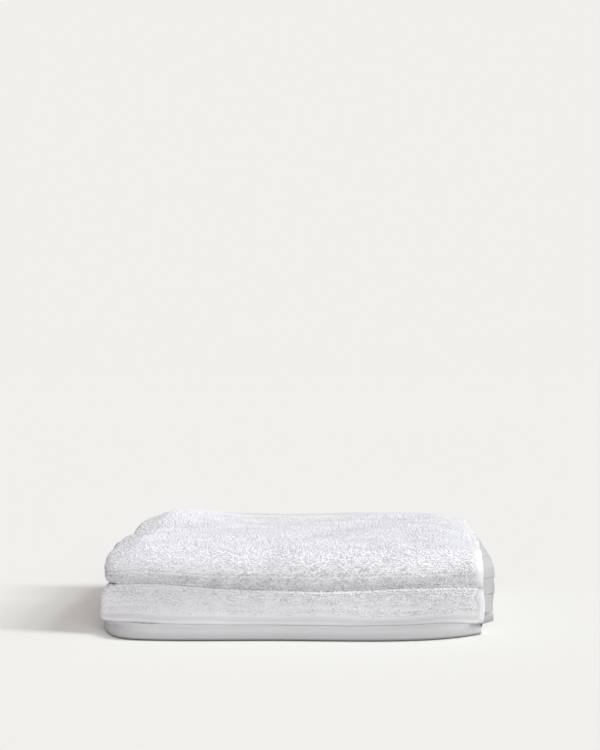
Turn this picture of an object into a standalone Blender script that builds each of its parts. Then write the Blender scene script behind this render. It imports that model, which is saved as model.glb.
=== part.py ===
"""Terry hand towel, folded in half along its length and then laid back and forth.

The cloth starts as one flat slab, 0.5 m by 0.9 m. Two rules then move its points: the first
folds the right half over the left, and the second lays the doubled strip in five passes,
with two rounded noses and one hemmed end at the front. A last rule settles the stack: the
lower passes are pressed thin, the corners draw in and the top lies in soft mounds.
Metres, +Z up, standing on Z = 0, with the front at -Y.
"""

import math
from collections import namedtuple

import bmesh
import bpy
import numpy as np

# The flat towel
TOWEL_WIDTH = 0.500
TOWEL_LENGTH = 0.900
CLOTH = 0.0050
FACE_HALF = 0.2465
END_HEM = 0.014
SIDE_HEM = 0.006
HEM_STEP = 0.003
EDGE_ROUND = 0.0014

# Height of the outer face at the cut edge, in the hem and in the groove beside it, as shares
# of the terry's
EDGE_SHARE = 0.00
HEM_SHARE = 0.76
GROOVE_SHARE = 0.62

# The folded stack, before it settles
LAYER_GAP = 0.0007
PASS_GAP = 0.0008
PASSES = 5
STACK_DEPTH = 0.1834
TOP_PASS = 0.1735
FOLD_AXIS_X = -0.1225
SIDE_FOLD_STEPS = 6
NOSE_STEPS = 8
NOSE_SQUARENESS = 0.74

# Where the cloth has a row of points, across the stack and from the front to the back
ACROSS = (-0.104, -0.080, -0.040, 0.000, 0.040, 0.080, 0.103)
DEPTHS_FINE = (-0.066, -0.056, -0.046, -0.034, -0.012, 0.008, 0.018, 0.028, 0.038, 0.050, 0.066)
DEPTHS_COARSE = (-0.060, -0.050, -0.040, 0.000, 0.034, 0.064)

# Where each pass lies once the stack has settled: the height of its top at five places
# across the stack, how far its two sides are drawn in, and the same near the front
Pass = namedtuple(
    "Pass", "name far_left left middle right far_right draw_left draw_right nose_left nose_right"
)
SETTLED_X = (-0.122, -0.098, 0.000, 0.085, 0.122)
SETTLED = (
    Pass("hemmed", 0.0078, 0.0086, 0.0091, 0.0092, 0.0088, 0.0060, 0.0000, 0.0060, 0.0120),
    Pass("under lower nose", 0.0188, 0.0200, 0.0198, 0.0199, 0.0190, 0.0000, 0.0000, 0.0042, 0.0115),
    Pass("over lower nose", 0.0303, 0.0315, 0.0302, 0.0310, 0.0302, 0.0010, 0.0000, 0.0046, 0.0115),
    Pass("under upper nose", 0.0415, 0.0440, 0.0430, 0.0440, 0.0430, 0.0010, 0.0000, 0.0064, 0.0115),
    Pass("top", 0.0502, 0.0554, 0.0560, 0.0560, 0.0515, 0.0042, 0.0100, 0.0080, 0.0125),
)

# How far behind the front the noses end
NOSE_DRAW_FULL = 0.034
NOSE_DRAW_NONE = 0.054
DRAW_FROM = 0.050

# How far the corners lie behind the straight front, and before the straight back. The left
# part of the hemmed pass leads the front a little before its corner turns back
Corner = namedtuple("Corner", "reach_x left right power")
FRONT_CORNERS = Corner(0.115, 0.0120, 0.0150, 2.4)
HEMMED_CORNERS = Corner(0.115, 0.0160, 0.0150, 11.0)
HEMMED_LEAD = 0.0040
BACK_CORNERS = Corner(0.115, 0.0110, 0.0080, 2.6)

# Soft mounds and troughs in the top: centre, spread and height
Mound = namedtuple("Mound", "x y spread_x spread_y height")
MOUNDS = (
    Mound(-0.098, 0.066, 0.030, 0.024, 0.0046),
    Mound(0.068, 0.070, 0.030, 0.040, 0.0026),
    Mound(-0.122, 0.031, 0.034, 0.010, -0.0080),
    Mound(-0.010, 0.062, 0.042, 0.036, -0.0010),
    Mound(0.035, -0.030, 0.060, 0.032, 0.0012),
    Mound(-0.075, -0.042, 0.036, 0.026, 0.0016),
)
MOUND_FADE = 3.0

TERRY_WHITE = (0.80, 0.80, 0.83, 1.0)

# Worked out from the sizes above
STRIP = 2 * CLOTH + LAYER_GAP
PITCH = STRIP + PASS_GAP
NOSE_RADIUS = PITCH / 2
SIDE_RADIUS = (CLOTH + LAYER_GAP) / 2
SIDE_ARC = math.pi * SIDE_RADIUS
NOSE_ARC = math.pi * NOSE_RADIUS
NOSE_AXIS_Y = STACK_DEPTH / 2 - NOSE_RADIUS - STRIP / 2
STACK_HEIGHT = PASSES * PITCH - PASS_GAP


def clear_scene():
    """Removes every object of the opened file."""
    for obj in list(bpy.data.objects):
        bpy.data.objects.remove(obj)


def terry_material():
    """White cotton terry."""
    material = bpy.data.materials.new("white_terry")
    material.use_nodes = True
    shader = material.node_tree.nodes["Principled BSDF"]
    shader.inputs["Base Color"].default_value = TERRY_WHITE
    shader.inputs["Roughness"].default_value = 0.95
    shader.inputs["Metallic"].default_value = 0.0
    return material


def hem_rows(edge, inward, hem):
    """Rows of points that round a cut edge and mark the groove beside its hem."""
    return [edge, edge + inward * EDGE_ROUND, edge + inward * hem, edge + inward * (hem + HEM_STEP)]


def rows_across():
    """Places of the rows of points along the flat width, from one selvedge to the other."""
    face = [FACE_HALF + FOLD_AXIS_X - x for x in ACROSS]
    fold = [FACE_HALF + SIDE_ARC * i / SIDE_FOLD_STEPS for i in range(SIDE_FOLD_STEPS + 1)]
    under = [FACE_HALF + SIDE_ARC + x - FOLD_AXIS_X for x in ACROSS]
    near = hem_rows(0.0, 1, SIDE_HEM)
    far = hem_rows(TOWEL_WIDTH, -1, SIDE_HEM)
    return sorted(near + face + fold + under + far)


def pass_start(index):
    """Place along the flat length where a pass begins; pass 0 is the top one."""
    if index == 0:
        return 0.0
    return TOP_PASS + NOSE_ARC + (index - 1) * (2 * NOSE_AXIS_Y + NOSE_ARC)


def rows_along():
    """Places of the rows of points along the flat length, from the back end to the front one."""
    rows = hem_rows(0.0, 1, END_HEM) + hem_rows(TOWEL_LENGTH, -1, END_HEM)
    for index in range(PASSES):
        depths = DEPTHS_FINE if index < 2 else DEPTHS_COARSE
        forwards = index % 2 == 0
        first_y = NOSE_AXIS_Y if forwards else -NOSE_AXIS_Y
        lead_in = TOP_PASS - 2 * NOSE_AXIS_Y if index == 0 else 0.0
        rows += [pass_start(index) + lead_in + abs(y - first_y) for y in depths]
        if index < PASSES - 1:
            nose = pass_start(index + 1) - NOSE_ARC
            rows += [nose + NOSE_ARC * i / NOSE_STEPS for i in range(NOSE_STEPS + 1)]
    return sorted(rows)


def outer_share(across, along):
    """Height of the outer face as a share of the terry's: less in a hem, least at an edge."""
    ends = min(along, TOWEL_LENGTH - along)
    sides = min(across, TOWEL_WIDTH - across)
    shares = []
    for reach, hem in ((ends, END_HEM), (sides, SIDE_HEM)):
        stops = (0.0, EDGE_ROUND, hem, hem + HEM_STEP)
        shares.append(np.interp(reach, stops, (EDGE_SHARE, HEM_SHARE, GROOVE_SHARE, 1.0)))
    return min(shares)


def fold_lengthwise(across, height):
    """Folds the flat width in half: gives x, and the height off the doubled strip's middle."""
    if across < FACE_HALF:
        return FOLD_AXIS_X + FACE_HALF - across, SIDE_RADIUS + height
    if across > FACE_HALF + SIDE_ARC:
        return FOLD_AXIS_X + across - FACE_HALF - SIDE_ARC, -SIDE_RADIUS - height
    angle = (across - FACE_HALF) / SIDE_RADIUS
    reach = SIDE_RADIUS + height
    return FOLD_AXIS_X - reach * math.sin(angle), reach * math.cos(angle)


def squared(share):
    """Pushes a sine or cosine outwards, so that a nose is fuller than a half circle."""
    return math.copysign(abs(share) ** NOSE_SQUARENESS, share)


def lay_back_and_forth(along, height):
    """Lays the strip in passes: gives y and z for a place along it and a height off its middle."""
    index = 0
    while index < PASSES - 1 and along >= pass_start(index + 1):
        index += 1
    side = 1 if index % 2 == 0 else -1
    middle = STACK_HEIGHT - STRIP / 2 - index * PITCH
    first_y = side * NOSE_AXIS_Y
    if index == 0:
        first_y = TOP_PASS - NOSE_AXIS_Y
    run = along - pass_start(index)
    straight = abs(first_y + side * NOSE_AXIS_Y)
    if run <= straight or index == PASSES - 1:
        return first_y - side * run, middle + side * height
    angle = (run - straight) / NOSE_RADIUS
    reach = NOSE_RADIUS + side * height
    y = -side * (NOSE_AXIS_Y + reach * squared(math.sin(angle)))
    return y, middle - NOSE_RADIUS + reach * squared(math.cos(angle))


def smooth(share):
    """Eases a share from 0 to 1."""
    share = min(max(share, 0.0), 1.0)
    return share * share * (3 - 2 * share)


def settled_heights(x):
    """Heights of the floor and of the top of each pass, at this place across the stack."""
    place = int(np.clip(np.searchsorted(SETTLED_X, x) - 1, 0, len(SETTLED_X) - 2))
    share = smooth((x - SETTLED_X[place]) / (SETTLED_X[place + 1] - SETTLED_X[place]))
    heights = [0.0]
    for row in SETTLED:
        at_places = row[1:6]
        heights.append(at_places[place] + (at_places[place + 1] - at_places[place]) * share)
    return heights


def drawn_in(x, y, z):
    """Moves a place across the stack inwards, more so in the noses and in the top pass."""
    middles = [(i + 0.5) * PITCH for i in range(PASSES)]
    behind_front = y + STACK_DEPTH / 2
    nose = smooth((NOSE_DRAW_NONE - behind_front) / (NOSE_DRAW_NONE - NOSE_DRAW_FULL))
    if x < 0:
        sides = [(row.draw_left, row.nose_left) for row in SETTLED]
        edge = -FOLD_AXIS_X + SIDE_RADIUS + CLOTH / 2
    else:
        sides = [(row.draw_right, row.nose_right) for row in SETTLED]
        edge = TOWEL_WIDTH - FACE_HALF - SIDE_ARC + FOLD_AXIS_X
    draw = np.interp(z, middles, [behind + (front - behind) * nose for behind, front in sides])
    share = max(abs(x) - DRAW_FROM, 0.0) / (edge - DRAW_FROM)
    return x - math.copysign(draw * share * share, x)


def behind_straight(corners, x):
    """How far the cloth lies behind a straight front or back at this place across the stack."""
    depth = corners.left if x < 0 else corners.right
    power = corners.power if x < 0 else FRONT_CORNERS.power
    lead = HEMMED_LEAD * smooth(-x / 0.080) if corners is HEMMED_CORNERS else 0.0
    return depth * (abs(x) / corners.reach_x) ** power - lead


def settle(x, y, z):
    """Moves a point of the neat stack to where the settled cloth lies."""
    tops = [i * PITCH for i in range(PASSES)] + [STACK_HEIGHT]
    level = z / STACK_HEIGHT
    x = drawn_in(x, y, z)
    towards_front = min(max(0.5 - y / STACK_DEPTH, 0.0), 1.0)
    front_corners = HEMMED_CORNERS if z < PITCH - PASS_GAP / 2 else FRONT_CORNERS
    settled_y = y + behind_straight(front_corners, x) * smooth(2 * towards_front - 1)
    settled_y -= behind_straight(BACK_CORNERS, x) * smooth(1 - 2 * towards_front)
    settled_z = np.interp(z, tops, settled_heights(x))
    for mound in MOUNDS:
        off_x = (x - mound.x) / mound.spread_x
        off_y = (y - mound.y) / mound.spread_y
        rise = mound.height * math.exp(-0.5 * (off_x * off_x + off_y * off_y))
        settled_z += rise * level ** MOUND_FADE
    return x, settled_y, settled_z


def flat_cloth(across, along):
    """A closed flat slab with a row of points at each of the given places."""
    mesh = bmesh.new()
    bmesh.ops.create_grid(mesh, x_segments=len(across) - 1, y_segments=len(along) - 1, size=0.5)
    for vert in mesh.verts:
        column = round((vert.co.x + 0.5) * (len(across) - 1))
        row = round((vert.co.y + 0.5) * (len(along) - 1))
        vert.co = (across[column], along[row], 0.0)
    upper = bmesh.ops.extrude_face_region(mesh, geom=mesh.faces[:])["geom"]
    lifted = {item for item in upper if isinstance(item, bmesh.types.BMVert)}
    for vert in mesh.verts:
        vert.co.z = CLOTH / 2 if vert in lifted else -CLOTH / 2
    bmesh.ops.recalc_face_normals(mesh, faces=mesh.faces)
    return mesh


def fold_cloth(mesh):
    """Folds and settles the slab, and centres it over the origin."""
    for vert in mesh.verts:
        across, along, height = vert.co
        if height > 0:
            height *= outer_share(across, along)
        x, off_middle = fold_lengthwise(across, height)
        y, z = lay_back_and_forth(along, off_middle)
        vert.co = settle(x, y, z)
    xs = [vert.co.x for vert in mesh.verts]
    ys = [vert.co.y for vert in mesh.verts]
    centre = ((min(xs) + max(xs)) / 2, (min(ys) + max(ys)) / 2, 0.0)
    bmesh.ops.translate(mesh, verts=mesh.verts, vec=[-value for value in centre])
    bmesh.ops.recalc_face_normals(mesh, faces=mesh.faces)


def make_towel(collection):
    """The folded towel, as one object."""
    cloth = flat_cloth(rows_across(), rows_along())
    fold_cloth(cloth)
    data = bpy.data.meshes.new("towel")
    cloth.to_mesh(data)
    cloth.free()
    data.materials.append(terry_material())
    data.shade_smooth()
    towel = bpy.data.objects.new("towel", data)
    collection.objects.link(towel)
    return towel


def main():
    clear_scene()
    collection = bpy.data.collections.new("folded_hand_towel")
    bpy.context.scene.collection.children.link(collection)
    make_towel(collection)


main()
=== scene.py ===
"""Dressed model of a white terry hand towel, folded in half and laid back and forth.

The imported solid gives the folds. Here the same fold plan lays out the ground cloth as a thin
sheet with its hems, and small loops of yarn stand on every stretch of it that can be seen.
All sizes are in metres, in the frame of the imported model: +Z up, the front at -Y.
"""

from __future__ import annotations

import logging
import math
from dataclasses import dataclass
from enum import Enum

import bpy
import numpy as np
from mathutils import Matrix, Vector
from mathutils.bvhtree import BVHTree

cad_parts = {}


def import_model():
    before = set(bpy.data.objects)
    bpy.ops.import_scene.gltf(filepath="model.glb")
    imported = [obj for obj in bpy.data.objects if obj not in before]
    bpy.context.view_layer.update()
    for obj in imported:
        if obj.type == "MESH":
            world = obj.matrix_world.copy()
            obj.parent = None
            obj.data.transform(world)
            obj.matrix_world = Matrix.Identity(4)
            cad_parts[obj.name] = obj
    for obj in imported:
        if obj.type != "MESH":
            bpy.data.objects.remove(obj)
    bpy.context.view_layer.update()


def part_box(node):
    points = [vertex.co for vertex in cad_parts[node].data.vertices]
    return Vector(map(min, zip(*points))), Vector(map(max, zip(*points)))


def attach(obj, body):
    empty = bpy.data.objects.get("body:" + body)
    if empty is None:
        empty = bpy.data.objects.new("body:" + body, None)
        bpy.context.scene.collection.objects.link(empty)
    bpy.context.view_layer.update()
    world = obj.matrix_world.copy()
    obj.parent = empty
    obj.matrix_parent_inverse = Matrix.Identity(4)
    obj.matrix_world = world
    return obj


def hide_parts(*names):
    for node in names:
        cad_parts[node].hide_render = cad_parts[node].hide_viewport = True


LOG = logging.getLogger("hand_towel")


class Zone(Enum):
    """Stretches of the outside, each with its own mesh of loops."""

    FRONT = "front"
    BACK = "back"
    LEFT = "left"
    TOP_FAR_LEFT = "top_far_left"
    TOP_LEFT = "top_left"
    TOP_RIGHT = "top_right"
    TOP_FAR_RIGHT = "top_far_right"


def eased(share: np.ndarray) -> np.ndarray:
    """Eases shares from 0 to 1."""
    share = np.clip(share, 0.0, 1.0)
    return share * share * (3 - 2 * share)


def select_only(obj: bpy.types.Object) -> None:
    """Deselects everything, then selects one object and makes it the active one.

    Args:
        obj: The object that the next operators work on.
    """
    bpy.ops.object.select_all(action="DESELECT")
    obj.select_set(True)
    bpy.context.view_layer.objects.active = obj


@dataclass(frozen=True)
class Pass:
    """Where one pass of the strip lies in the settled stack.

    The heights are those of its top at the five places of FoldPlan.settled_x. The draws say how
    far its two sides lie inside the widest part of the stack, and the noses the same near the
    front.
    """

    name: str
    heights: tuple[float, float, float, float, float]
    draw_left: float
    draw_right: float
    nose_left: float
    nose_right: float


@dataclass(frozen=True)
class Mound:
    """A soft mound, or a hollow where its height is negative."""

    x: float
    y: float
    spread_x: float
    spread_y: float
    height: float

    def rise(self, x: np.ndarray, y: np.ndarray) -> np.ndarray:
        """How far it lifts the cloth at these places."""
        off_x = (x - self.x) / self.spread_x
        off_y = (y - self.y) / self.spread_y
        return self.height * np.exp(-0.5 * (off_x * off_x + off_y * off_y))


@dataclass(frozen=True)
class Trough:
    """A soft crease between two places on the top."""

    start: tuple[float, float]
    end: tuple[float, float]
    spread: float
    depth: float

    def rise(self, x: np.ndarray, y: np.ndarray) -> np.ndarray:
        """How far it lifts the cloth at these places, which is a fall along the crease."""
        along = np.array(self.end) - np.array(self.start)
        length = float(np.hypot(*along))
        along = along / length
        run = (x - self.start[0]) * along[0] + (y - self.start[1]) * along[1]
        aside = (x - self.start[0]) * along[1] - (y - self.start[1]) * along[0]
        beyond = np.maximum(np.maximum(-run, run - length), 0.0)
        far = np.sqrt(aside * aside + beyond * beyond) / self.spread
        return -self.depth * np.exp(-0.5 * far * far)


@dataclass(frozen=True)
class Ripples:
    """A run of low ridges that lie across the stack."""

    x: float
    y: float
    spread_x: float
    spread_y: float
    wave: float
    height: float

    def rise(self, x: np.ndarray, y: np.ndarray) -> np.ndarray:
        """How far they lift the cloth at these places."""
        off_x = (x - self.x) / self.spread_x
        off_y = (y - self.y) / self.spread_y
        fade = np.exp(-0.5 * (off_x * off_x + off_y * off_y))
        return self.height * fade * np.cos(2 * math.pi * (y - self.y) / self.wave + 6.0 * (x - self.x))


@dataclass
class FoldPlan:
    """Lays the flat towel in its folds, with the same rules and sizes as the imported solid."""

    width: float = 0.500
    length: float = 0.900
    cloth: float = 0.0050
    face_half: float = 0.2455
    layer_gap: float = 0.0007
    pass_gap: float = 0.0008
    stack_depth: float = 0.1834
    top_pass: float = 0.1735
    fold_axis_x: float = -0.1225
    nose_tops: tuple[float, ...] = (1.15, 0.70, 0.40, 0.70, 0.70)
    nose_bottoms: tuple[float, ...] = (0.46, 0.70, 0.38, 0.70, 0.70)
    nose_slants: tuple[float, ...] = (0.0028, 0.0, 0.0004, 0.0, 0.0)
    nose_droops: tuple[float, ...] = (0.25, 0.0, 0.0, 0.0, 0.0)
    hem_lift: float = 0.0006
    hem_lift_from: float = 0.012
    hem_lift_run: float = 0.010
    hem_lift_height: float = 0.008
    settled_x: tuple[float, ...] = (-0.122, -0.098, 0.000, 0.085, 0.122)
    passes: tuple[Pass, ...] = (
        Pass("hemmed", (0.0074, 0.0081, 0.0085, 0.0086, 0.0083), 0.0022, 0.0, 0.0022, 0.0120),
        Pass("under lower nose", (0.0188, 0.0200, 0.0198, 0.0199, 0.0190), 0.0, -0.0056, 0.0026, 0.0110),
        Pass("over lower nose", (0.0303, 0.0315, 0.0302, 0.0310, 0.0302), 0.0, -0.0044, 0.0030, 0.0110),
        Pass("under upper nose", (0.0415, 0.0440, 0.0430, 0.0440, 0.0430), 0.0, -0.0030, 0.0046, 0.0110),
        Pass("top", (0.0502, 0.0554, 0.0560, 0.0560, 0.0515), 0.0030, 0.0100, 0.0062, 0.0120),
    )
    nose_draw_full: float = 0.034
    nose_draw_none: float = 0.054
    draw_from: float = 0.050
    corner_reach: float = 0.115
    front_corners: tuple[float, float, float, float] = (0.0120, 0.0150, 2.4, 2.4)
    hemmed_corners: tuple[float, float, float, float] = (0.0120, 0.0290, 14.0, 4.1)
    hemmed_lead: float = 0.0040
    lead_reach: float = 0.080
    hem_forward: float = 0.0070
    back_corners: tuple[float, float, float, float] = (0.0110, 0.0080, 2.6, 2.6)
    reliefs: tuple[Mound | Trough | Ripples, ...] = (
        Mound(-0.098, 0.066, 0.030, 0.024, 0.0046),
        Mound(0.068, 0.070, 0.030, 0.040, 0.0026),
        Mound(-0.122, 0.031, 0.034, 0.010, -0.0056),
        Mound(-0.010, 0.062, 0.042, 0.036, -0.0010),
        Mound(0.035, -0.030, 0.060, 0.032, 0.0012),
        Mound(-0.075, -0.042, 0.036, 0.026, 0.0016),
        Trough((-0.112, 0.024), (-0.090, 0.015), 0.0050, 0.0030),
        Trough((-0.090, 0.014), (-0.074, 0.010), 0.0040, 0.0014),
        Mound(-0.086, 0.034, 0.022, 0.008, 0.0024),
        Mound(-0.020, -0.104, 0.130, 0.022, -0.0062),
        Trough((0.000, -0.033), (0.074, 0.080), 0.010, 0.0012),
        Trough((-0.060, -0.010), (0.010, 0.012), 0.012, 0.0006),
        Ripples(0.090, 0.020, 0.032, 0.055, 0.028, 0.0009),
    )
    relief_fade: float = 3.0
    inner_exposure: float = 0.35
    top_fade: float = 0.004
    side_fade: float = 0.006
    nose_hidden: float = 0.08
    nose_fade: float = 0.24
    uneven_seed: int = 11
    uneven_waves: int = 9
    uneven_height: float = 0.00020
    uneven_lengths: tuple[float, float] = (0.022, 0.060)
    even_below: float = 0.010

    def __post_init__(self) -> None:
        """Works out the lengths that follow from the sizes."""
        self.strip = 2 * self.cloth + self.layer_gap
        self.pitch = self.strip + self.pass_gap
        self.nose_radius = self.pitch / 2
        self.side_radius = (self.cloth + self.layer_gap) / 2
        self.side_arc = math.pi * self.side_radius
        self.nose_arc = math.pi * self.nose_radius
        self.nose_axis_y = self.stack_depth / 2 - self.nose_radius - self.strip / 2
        self.height = len(self.passes) * self.pitch - self.pass_gap
        run = 2 * self.nose_axis_y + self.nose_arc
        first = self.top_pass + self.nose_arc
        self.starts = np.array([0.0] + [first + run * i for i in range(len(self.passes) - 1)])
        self.shift = np.zeros(3)

    def fold_lengthwise(self, across: np.ndarray, off: np.ndarray) -> tuple[np.ndarray, np.ndarray]:
        """Folds the flat width in half.

        Args:
            across: Places along the flat width.
            off: Heights off the middle of the cloth.

        Returns:
            Places across the stack, and heights off the middle of the doubled strip.
        """
        angle = np.clip((across - self.face_half) / self.side_radius, 0.0, math.pi)
        reach = self.side_radius + off
        before = np.maximum(self.face_half - across, 0.0)
        after = np.maximum(across - self.face_half - self.side_arc, 0.0)
        x = self.fold_axis_x + before + after - reach * np.sin(angle)
        return x, reach * np.cos(angle)

    def nose_shape(self, angle: np.ndarray, index: np.ndarray) -> tuple[np.ndarray, np.ndarray]:
        """Shapes the noses, which are fuller, slacker or more drooping than a half circle.

        Args:
            angle: How far round its nose each place lies.
            index: The pass that each nose ends.

        Returns:
            How far out and how far up each place lies, as shares of its reach.
        """
        up = np.cos(angle)
        power = np.where(up > 0, np.array(self.nose_tops)[index], np.array(self.nose_bottoms)[index])
        droop = np.array(self.nose_droops)[index] * np.sin(angle) ** 2
        return np.abs(np.sin(angle)) ** power, np.copysign(np.abs(up) ** power, up) - droop

    def lay_back_and_forth(self, along: np.ndarray, off: np.ndarray) -> tuple[np.ndarray, np.ndarray]:
        """Lays the doubled strip in its passes.

        Args:
            along: Places along the flat length.
            off: Heights off the middle of the strip.

        Returns:
            Places from the front to the back, and heights above the floor.
        """
        last = len(self.passes) - 1
        index = np.clip(np.searchsorted(self.starts, along, side="right") - 1, 0, last)
        side = np.where(index % 2 == 0, 1.0, -1.0)
        middle = self.height - self.strip / 2 - index * self.pitch
        first_y = np.where(index == 0, self.top_pass - self.nose_axis_y, side * self.nose_axis_y)
        run = along - self.starts[index]
        straight = np.abs(first_y + side * self.nose_axis_y)
        lies_flat = (run <= straight) | (index == last)
        angle = np.clip((run - straight) / self.nose_radius, 0.0, math.pi)
        reach = self.nose_radius + side * off
        outwards, upwards = self.nose_shape(angle, index)
        slant = np.array(self.nose_slants)[index] * np.maximum(-upwards, 0.0) * outwards
        nose_y = -side * (self.nose_axis_y + reach * outwards - slant)
        nose_z = middle - self.nose_radius + reach * upwards
        y = np.where(lies_flat, first_y - side * run, nose_y)
        z = np.where(lies_flat, middle + side * off, nose_z)
        return y, z

    def drawn_in(self, x: np.ndarray, y: np.ndarray, z: np.ndarray) -> np.ndarray:
        """Moves places across the stack inwards, more so in the noses and in the top pass."""
        middles = (np.arange(len(self.passes)) + 0.5) * self.pitch
        behind = y + self.stack_depth / 2
        in_nose = eased((self.nose_draw_none - behind) / (self.nose_draw_none - self.nose_draw_full))
        left = np.interp(z, middles, [row.draw_left for row in self.passes])
        left += (np.interp(z, middles, [row.nose_left for row in self.passes]) - left) * in_nose
        right = np.interp(z, middles, [row.draw_right for row in self.passes])
        right += (np.interp(z, middles, [row.nose_right for row in self.passes]) - right) * in_nose
        left_edge = -self.fold_axis_x + self.side_radius + self.cloth / 2
        right_edge = self.width - self.face_half - self.side_arc + self.fold_axis_x
        edge = np.where(x < 0, left_edge, right_edge)
        share = np.maximum(np.abs(x) - self.draw_from, 0.0) / (edge - self.draw_from)
        return x - np.copysign(np.where(x < 0, left, right) * share * share, x)

    def behind_straight(self, corners: tuple[float, ...], x: np.ndarray) -> np.ndarray:
        """How far the cloth lies behind a straight front or back at these places across."""
        left, right, left_power, right_power = corners
        power = np.where(x < 0, left_power, right_power)
        return np.where(x < 0, left, right) * (np.abs(x) / self.corner_reach) ** power

    def behind_front(self, x: np.ndarray, z: np.ndarray) -> np.ndarray:
        """How far the front lies back; the hemmed pass has sharper corners than the noses."""
        lead = self.hemmed_lead * eased(-x / self.lead_reach)
        hemmed = self.behind_straight(self.hemmed_corners, x) - lead - self.hem_forward
        above = (z - self.pitch + self.pass_gap / 2) / self.pitch
        noses = self.behind_straight(self.front_corners, x) - lead * np.clip(1.0 - above, 0.0, 1.0)
        return np.where(above < 0.0, hemmed, noses)

    def settled_heights(self, x: np.ndarray, z: np.ndarray) -> np.ndarray:
        """Presses heights in the neat stack down to those of the settled one."""
        at = np.array(self.settled_x)
        place = np.clip(np.searchsorted(at, x) - 1, 0, len(at) - 2)
        share = eased((x - at[place]) / (at[place + 1] - at[place]))
        table = np.array([(0.0,) * len(at)] + [row.heights for row in self.passes])
        tops = np.append(np.arange(len(self.passes)) * self.pitch, self.height)
        level = np.clip((z / self.pitch).astype(int), 0, len(self.passes) - 1)
        low = table[level, place] + (table[level, place + 1] - table[level, place]) * share
        high = table[level + 1, place]
        high = high + (table[level + 1, place + 1] - high) * share
        return low + (high - low) * (z - tops[level]) / (tops[level + 1] - tops[level])

    def unevenness(self, x: np.ndarray, y: np.ndarray, z: np.ndarray) -> np.ndarray:
        """Small slow wanderings that neighbouring layers share, so that they stay apart."""
        rng = np.random.default_rng(self.uneven_seed)
        moved = np.zeros((len(x), 3))
        for _ in range(self.uneven_waves):
            wave = rng.uniform(*self.uneven_lengths)
            toward = rng.normal(size=3)
            toward /= np.linalg.norm(toward)
            phase = (x * toward[0] + y * toward[1] + 1.5 * z * toward[2]) / wave
            push = rng.normal(size=3) * (0.8, 0.8, 1.0) * self.uneven_height
            moved += np.sin(2 * math.pi * (phase + rng.uniform()))[:, None] * push
        return moved * np.clip(z / self.even_below, 0.0, 1.0)[:, None]

    def place(self, across: np.ndarray, along: np.ndarray, off: np.ndarray) -> np.ndarray:
        """Takes points of the flat towel to where they lie in the settled stack.

        Args:
            across: Places along the flat width.
            along: Places along the flat length.
            off: Heights off the middle of the cloth.

        Returns:
            One row of x, y and z for each point.
        """
        x, off_middle = self.fold_lengthwise(across, off)
        y, z = self.lay_back_and_forth(along, off_middle)
        level = np.clip(z / self.height, 0.0, 1.0)
        x = self.drawn_in(x, y, z)
        towards_front = np.clip(0.5 - y / self.stack_depth, 0.0, 1.0)
        y = y + self.behind_front(x, z) * eased(2 * towards_front - 1)
        y = y - self.behind_straight(self.back_corners, x) * eased(1 - 2 * towards_front)
        z = self.settled_heights(x, z)
        lift = sum(relief.rise(x, y) for relief in self.reliefs)
        z = z + lift * level**self.relief_fade
        near_end = eased((along - self.length + self.hem_lift_from) / self.hem_lift_run)
        z = z + self.hem_lift * near_end * np.clip(1.0 - z / self.hem_lift_height, 0.0, 1.0)
        placed = np.column_stack([x, y, z]) + self.unevenness(x, y, z) + self.shift
        placed[:, 2] = np.maximum(placed[:, 2], 0.0)
        return placed

    def exposure(self, across: np.ndarray, along: np.ndarray) -> np.ndarray:
        """How far places lie out in the open: 1 on the top and outside the noses, 0 between passes."""
        upper = across < self.face_half + self.side_arc / 2
        top = np.where(upper, eased((self.starts[1] - self.nose_arc / 2 - along) / self.top_fade), 0.0)
        beside_fold = np.abs(across - self.face_half - self.side_arc / 2) - self.side_arc / 2
        shares = [top, eased(1.0 - beside_fold / self.side_fade)]
        for index, start in enumerate(self.starts[1:]):
            turned = (along - start + self.nose_arc) / self.nose_arc
            outside = np.where(upper == (index % 2 == 0), 1.0, self.inner_exposure)
            inside = np.minimum(turned, 1.0 - turned) - self.nose_hidden
            shares.append(outside * eased(inside / self.nose_fade))
        return np.max(shares, axis=0)

    def frames(self, across: np.ndarray, along: np.ndarray, off: np.ndarray) -> tuple[np.ndarray, ...]:
        """Where places of the outer face lie, and how the cloth lies there.

        Args:
            across: Places along the flat width.
            along: Places along the flat length.
            off: Heights off the middle of the cloth.

        Returns:
            The places in the stack, the outward directions and the directions across the cloth.
        """
        here = self.place(across, along, off)
        tiny = 0.0003
        along_u = self.place(across + tiny, along, off) - here
        along_v = self.place(across, along + tiny, off) - here
        out = np.cross(along_u, along_v)
        out /= np.linalg.norm(out, axis=1)[:, None] + 1e-12
        raised = self.place(across, along, off + tiny) - here
        out *= np.sign(np.sum(out * raised, axis=1))[:, None]
        along_u /= np.linalg.norm(along_u, axis=1)[:, None] + 1e-12
        return here, out, along_u

    def even_places(self, places: np.ndarray, points: np.ndarray, pitch: float) -> np.ndarray:
        """Picks places that lie evenly along a folded line.

        Args:
            places: Closely spaced places in the flat cloth.
            points: Where they lie in the stack.
            pitch: Distance to leave between the picked ones.

        Returns:
            The picked places in the flat cloth.
        """
        steps = np.linalg.norm(np.diff(points, axis=0), axis=1)
        run = np.concatenate([[0.0], np.cumsum(steps)])
        return np.interp(np.arange(pitch / 2, run[-1], pitch), run, places)


@dataclass(frozen=True)
class YarnTone:
    """Colours of cotton, from its hollows to its crowns."""

    hollow: tuple[float, float, float]
    crown: tuple[float, float, float]


@dataclass(frozen=True)
class CottonGloss:
    """How dull the cotton is, and how much its fibres catch the light."""

    roughness: float
    sheen: float


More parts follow.
